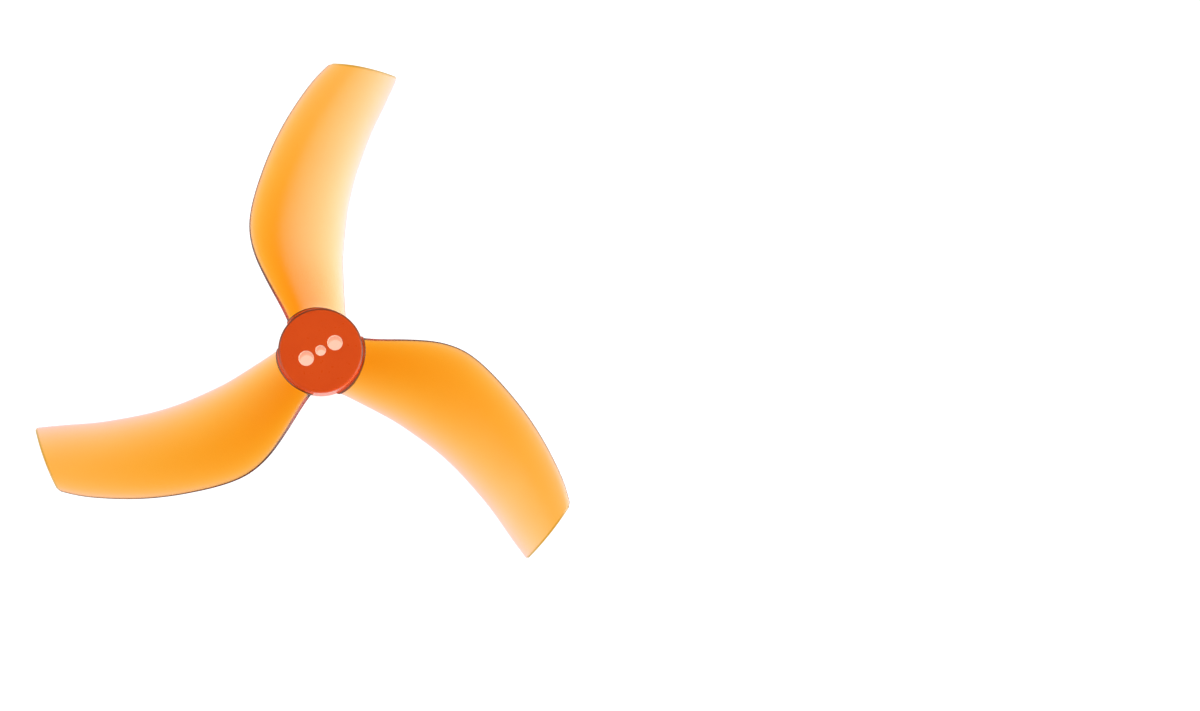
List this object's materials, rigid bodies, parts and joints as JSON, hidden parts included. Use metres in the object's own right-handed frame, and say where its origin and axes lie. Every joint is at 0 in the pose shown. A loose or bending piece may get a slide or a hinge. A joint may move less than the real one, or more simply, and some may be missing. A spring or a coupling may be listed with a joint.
{
  "type": "ducted drone propeller",
  "caption": "Wide-chord swept-blade propeller for a small ducted camera drone, moulded in clear orange plastic, with a flat disc hub, a shaft bore and a screw pattern.",
  "frame": {"origin": "on the axis of the shaft bore, at the hub's underside, the face that sits on the motor", "axes": "+Z along the spin axis, up and away from the motor, out of the hub's flat disc; +Y along the first blade; the screw holes lie on a line 30 degrees from +X. It turns anticlockwise seen from +Z"},
  "size_m": [0.0821, 0.0762, 0.0063],
  "materials": {
    "hub_plastic": "satin, tinted clear plastic that looks red where it is thick",
    "fairing_plastic": "gloss, tinted clear plastic",
    "blade_plastic": "gloss, tinted clear plastic"
  },
  "bodies": {
    "root": {"hub_cap": "hub_plastic", "hub_skirt": "hub_plastic", "shaft_boss": "hub_plastic", "screw_boss_1": "hub_plastic", "screw_boss_2": "hub_plastic", "hub_rib_1": "hub_plastic", "hub_rib_2": "hub_plastic", "hub_rib_3": "hub_plastic", "hub_rib_4": "hub_plastic", "hub_rib_5": "hub_plastic", "hub_rib_6": "hub_plastic", "root_fairing_1": "fairing_plastic", "root_fairing_2": "fairing_plastic", "root_fairing_3": "fairing_plastic", "blade_1": "blade_plastic", "blade_2": "blade_plastic", "blade_3": "blade_plastic"}
  },
  "joints": []
}
